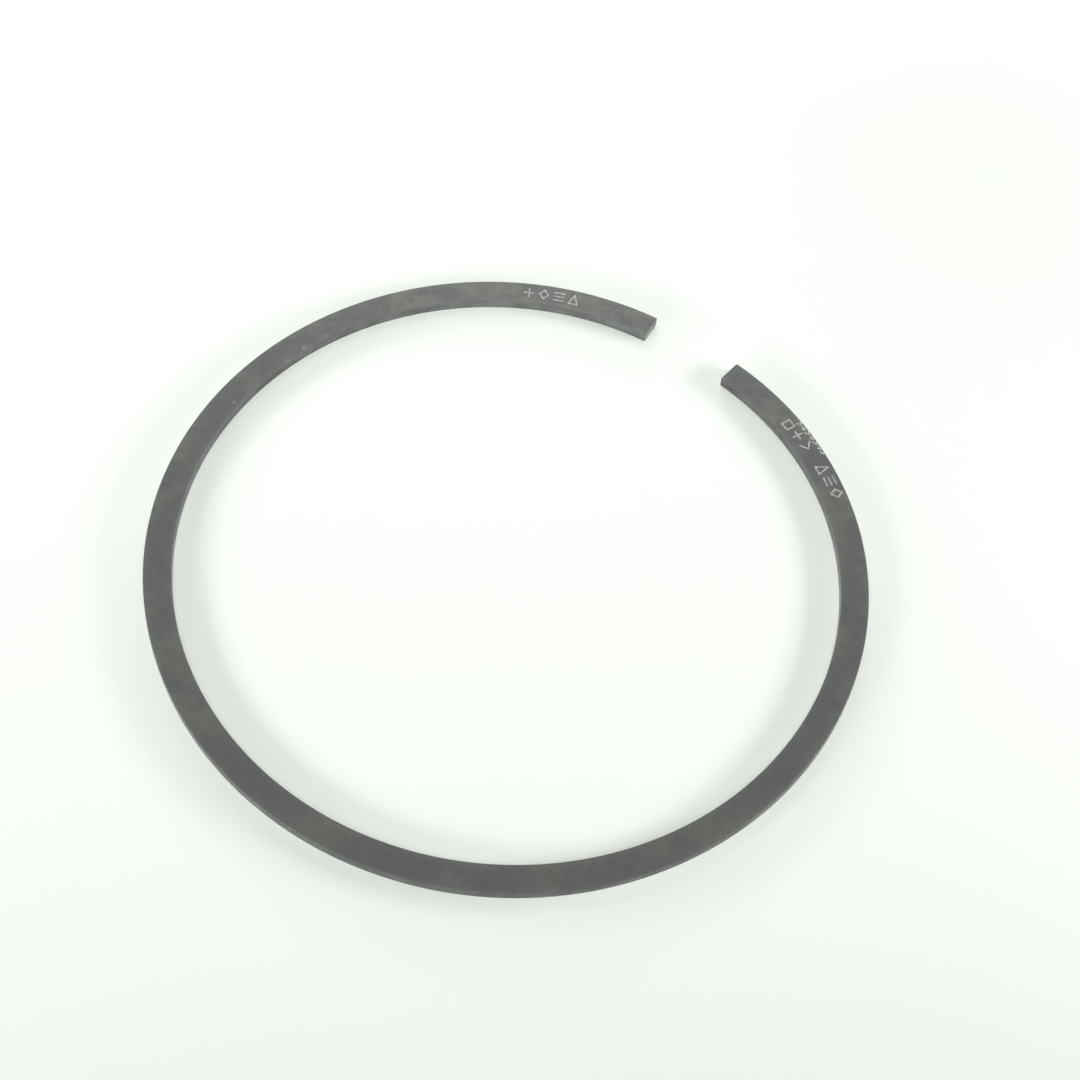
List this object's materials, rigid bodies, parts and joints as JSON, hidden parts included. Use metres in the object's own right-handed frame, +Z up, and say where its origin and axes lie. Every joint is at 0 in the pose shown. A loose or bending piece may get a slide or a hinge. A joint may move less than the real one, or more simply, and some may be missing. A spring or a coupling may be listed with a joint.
{
  "type": "piston ring",
  "caption": "Split compression ring for an engine piston: a thin flat band of rectangular section, sprung open to its free shape, with a gap between butt ends.",
  "frame": {"origin": "centre of the free ring's outline, on the plane of its lower side", "axes": "+Z up through the ring, along the cylinder's axis; +Y from the back of the ring to its gap; +X to the right seen from the back"},
  "size_m": [0.097, 0.0944, 0.0015],
  "materials": {
    "ring": "dark grey matt phosphate coat over cast iron"
  },
  "bodies": {
    "root": {"piston_ring": "ring"}
  },
  "joints": []
}
